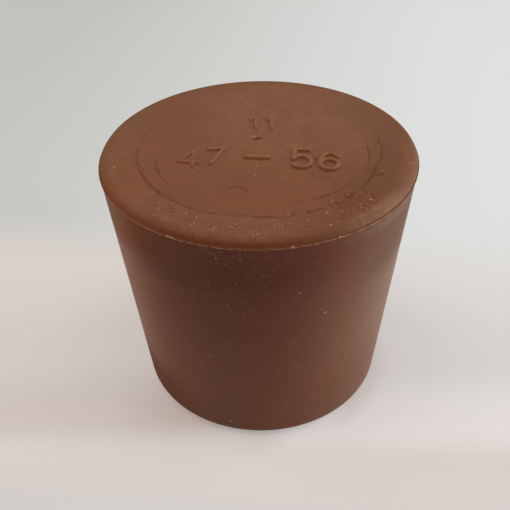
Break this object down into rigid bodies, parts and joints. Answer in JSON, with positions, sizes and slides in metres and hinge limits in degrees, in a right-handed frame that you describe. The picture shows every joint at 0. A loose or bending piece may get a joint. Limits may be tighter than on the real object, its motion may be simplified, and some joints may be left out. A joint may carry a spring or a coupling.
{
  "type": "rubber stopper",
  "caption": "Solid tapered rubber stopper with rounded ends, a trimmed parting line and plain size figures on its crown; it plugs the neck of a lab vessel.",
  "frame": {"origin": "centre of the narrow end, on the plane that the stopper stands on", "axes": "+Z along the plug's axis, from the narrow end to the crown; +X along the crown's row of size figures, as it is read"},
  "size_m": [0.0562, 0.0562, 0.05],
  "materials": {
    "rubber": "matt to satin moulded natural rubber"
  },
  "bodies": {
    "root": {"stopper": "rubber"}
  },
  "joints": []
}
